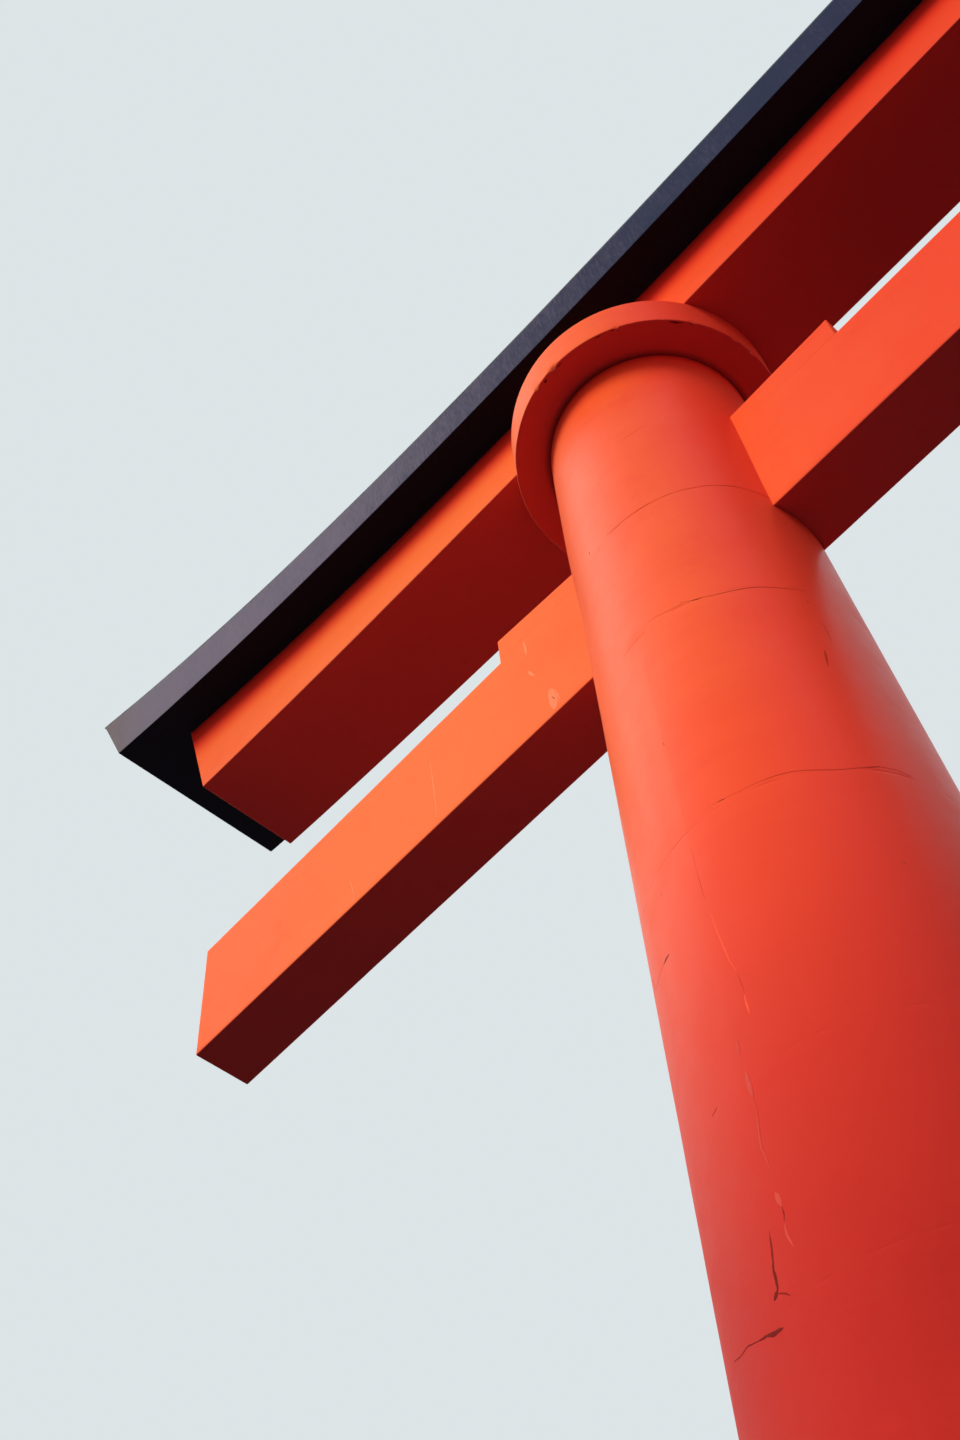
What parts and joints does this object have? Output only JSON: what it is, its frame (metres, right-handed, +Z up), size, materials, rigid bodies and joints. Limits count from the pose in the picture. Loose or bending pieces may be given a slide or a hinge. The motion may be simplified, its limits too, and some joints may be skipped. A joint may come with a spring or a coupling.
{
  "type": "torii gate",
  "caption": "Large myojin style torii gate of vermilion painted concrete with an upswept dark upper lintel, standing on round base stones.",
  "frame": {"origin": "on the ground, midway between the two pillars, at the bottom centre of the whole gate", "axes": "+X along the beams to the right seen from the front, +Y through the gate to the back, +Z up"},
  "size_m": [18.368, 2.2998, 12.681],
  "materials": {
    "vermilion_paint": "satin",
    "weathered_black": "matte",
    "roof_sheet": "matte",
    "foot_black": "satin",
    "granite": "matte"
  },
  "bodies": {
    "root": {"centre_strut": "vermilion_paint", "left_base_stone": "granite", "left_foot_sleeve": "foot_black", "left_pillar_cap": "vermilion_paint", "left_pillar_left_wedge": "vermilion_paint", "left_pillar_lift_1": "vermilion_paint", "left_pillar_lift_2": "vermilion_paint", "left_pillar_lift_3": "vermilion_paint", "left_pillar_lift_4": "vermilion_paint", "left_pillar_lift_5": "vermilion_paint", "left_pillar_lift_6": "vermilion_paint", "left_pillar_lift_7": "vermilion_paint", "left_pillar_lift_8": "vermilion_paint", "left_pillar_right_wedge": "vermilion_paint", "lower_lintel": "vermilion_paint", "right_base_stone": "granite", "right_foot_sleeve": "foot_black", "right_pillar_cap": "vermilion_paint", "right_pillar_left_wedge": "vermilion_paint", "right_pillar_lift_1": "vermilion_paint", "right_pillar_lift_2": "vermilion_paint", "right_pillar_lift_3": "vermilion_paint", "right_pillar_lift_4": "vermilion_paint", "right_pillar_lift_5": "vermilion_paint", "right_pillar_lift_6": "vermilion_paint", "right_pillar_lift_7": "vermilion_paint", "right_pillar_lift_8": "vermilion_paint", "right_pillar_right_wedge": "vermilion_paint", "roof_back_slope": "roof_sheet", "roof_front_slope": "roof_sheet", "roof_ridge": "roof_sheet", "tie_beam": "vermilion_paint", "upper_lintel_core": "weathered_black"}
  },
  "joints": []
}
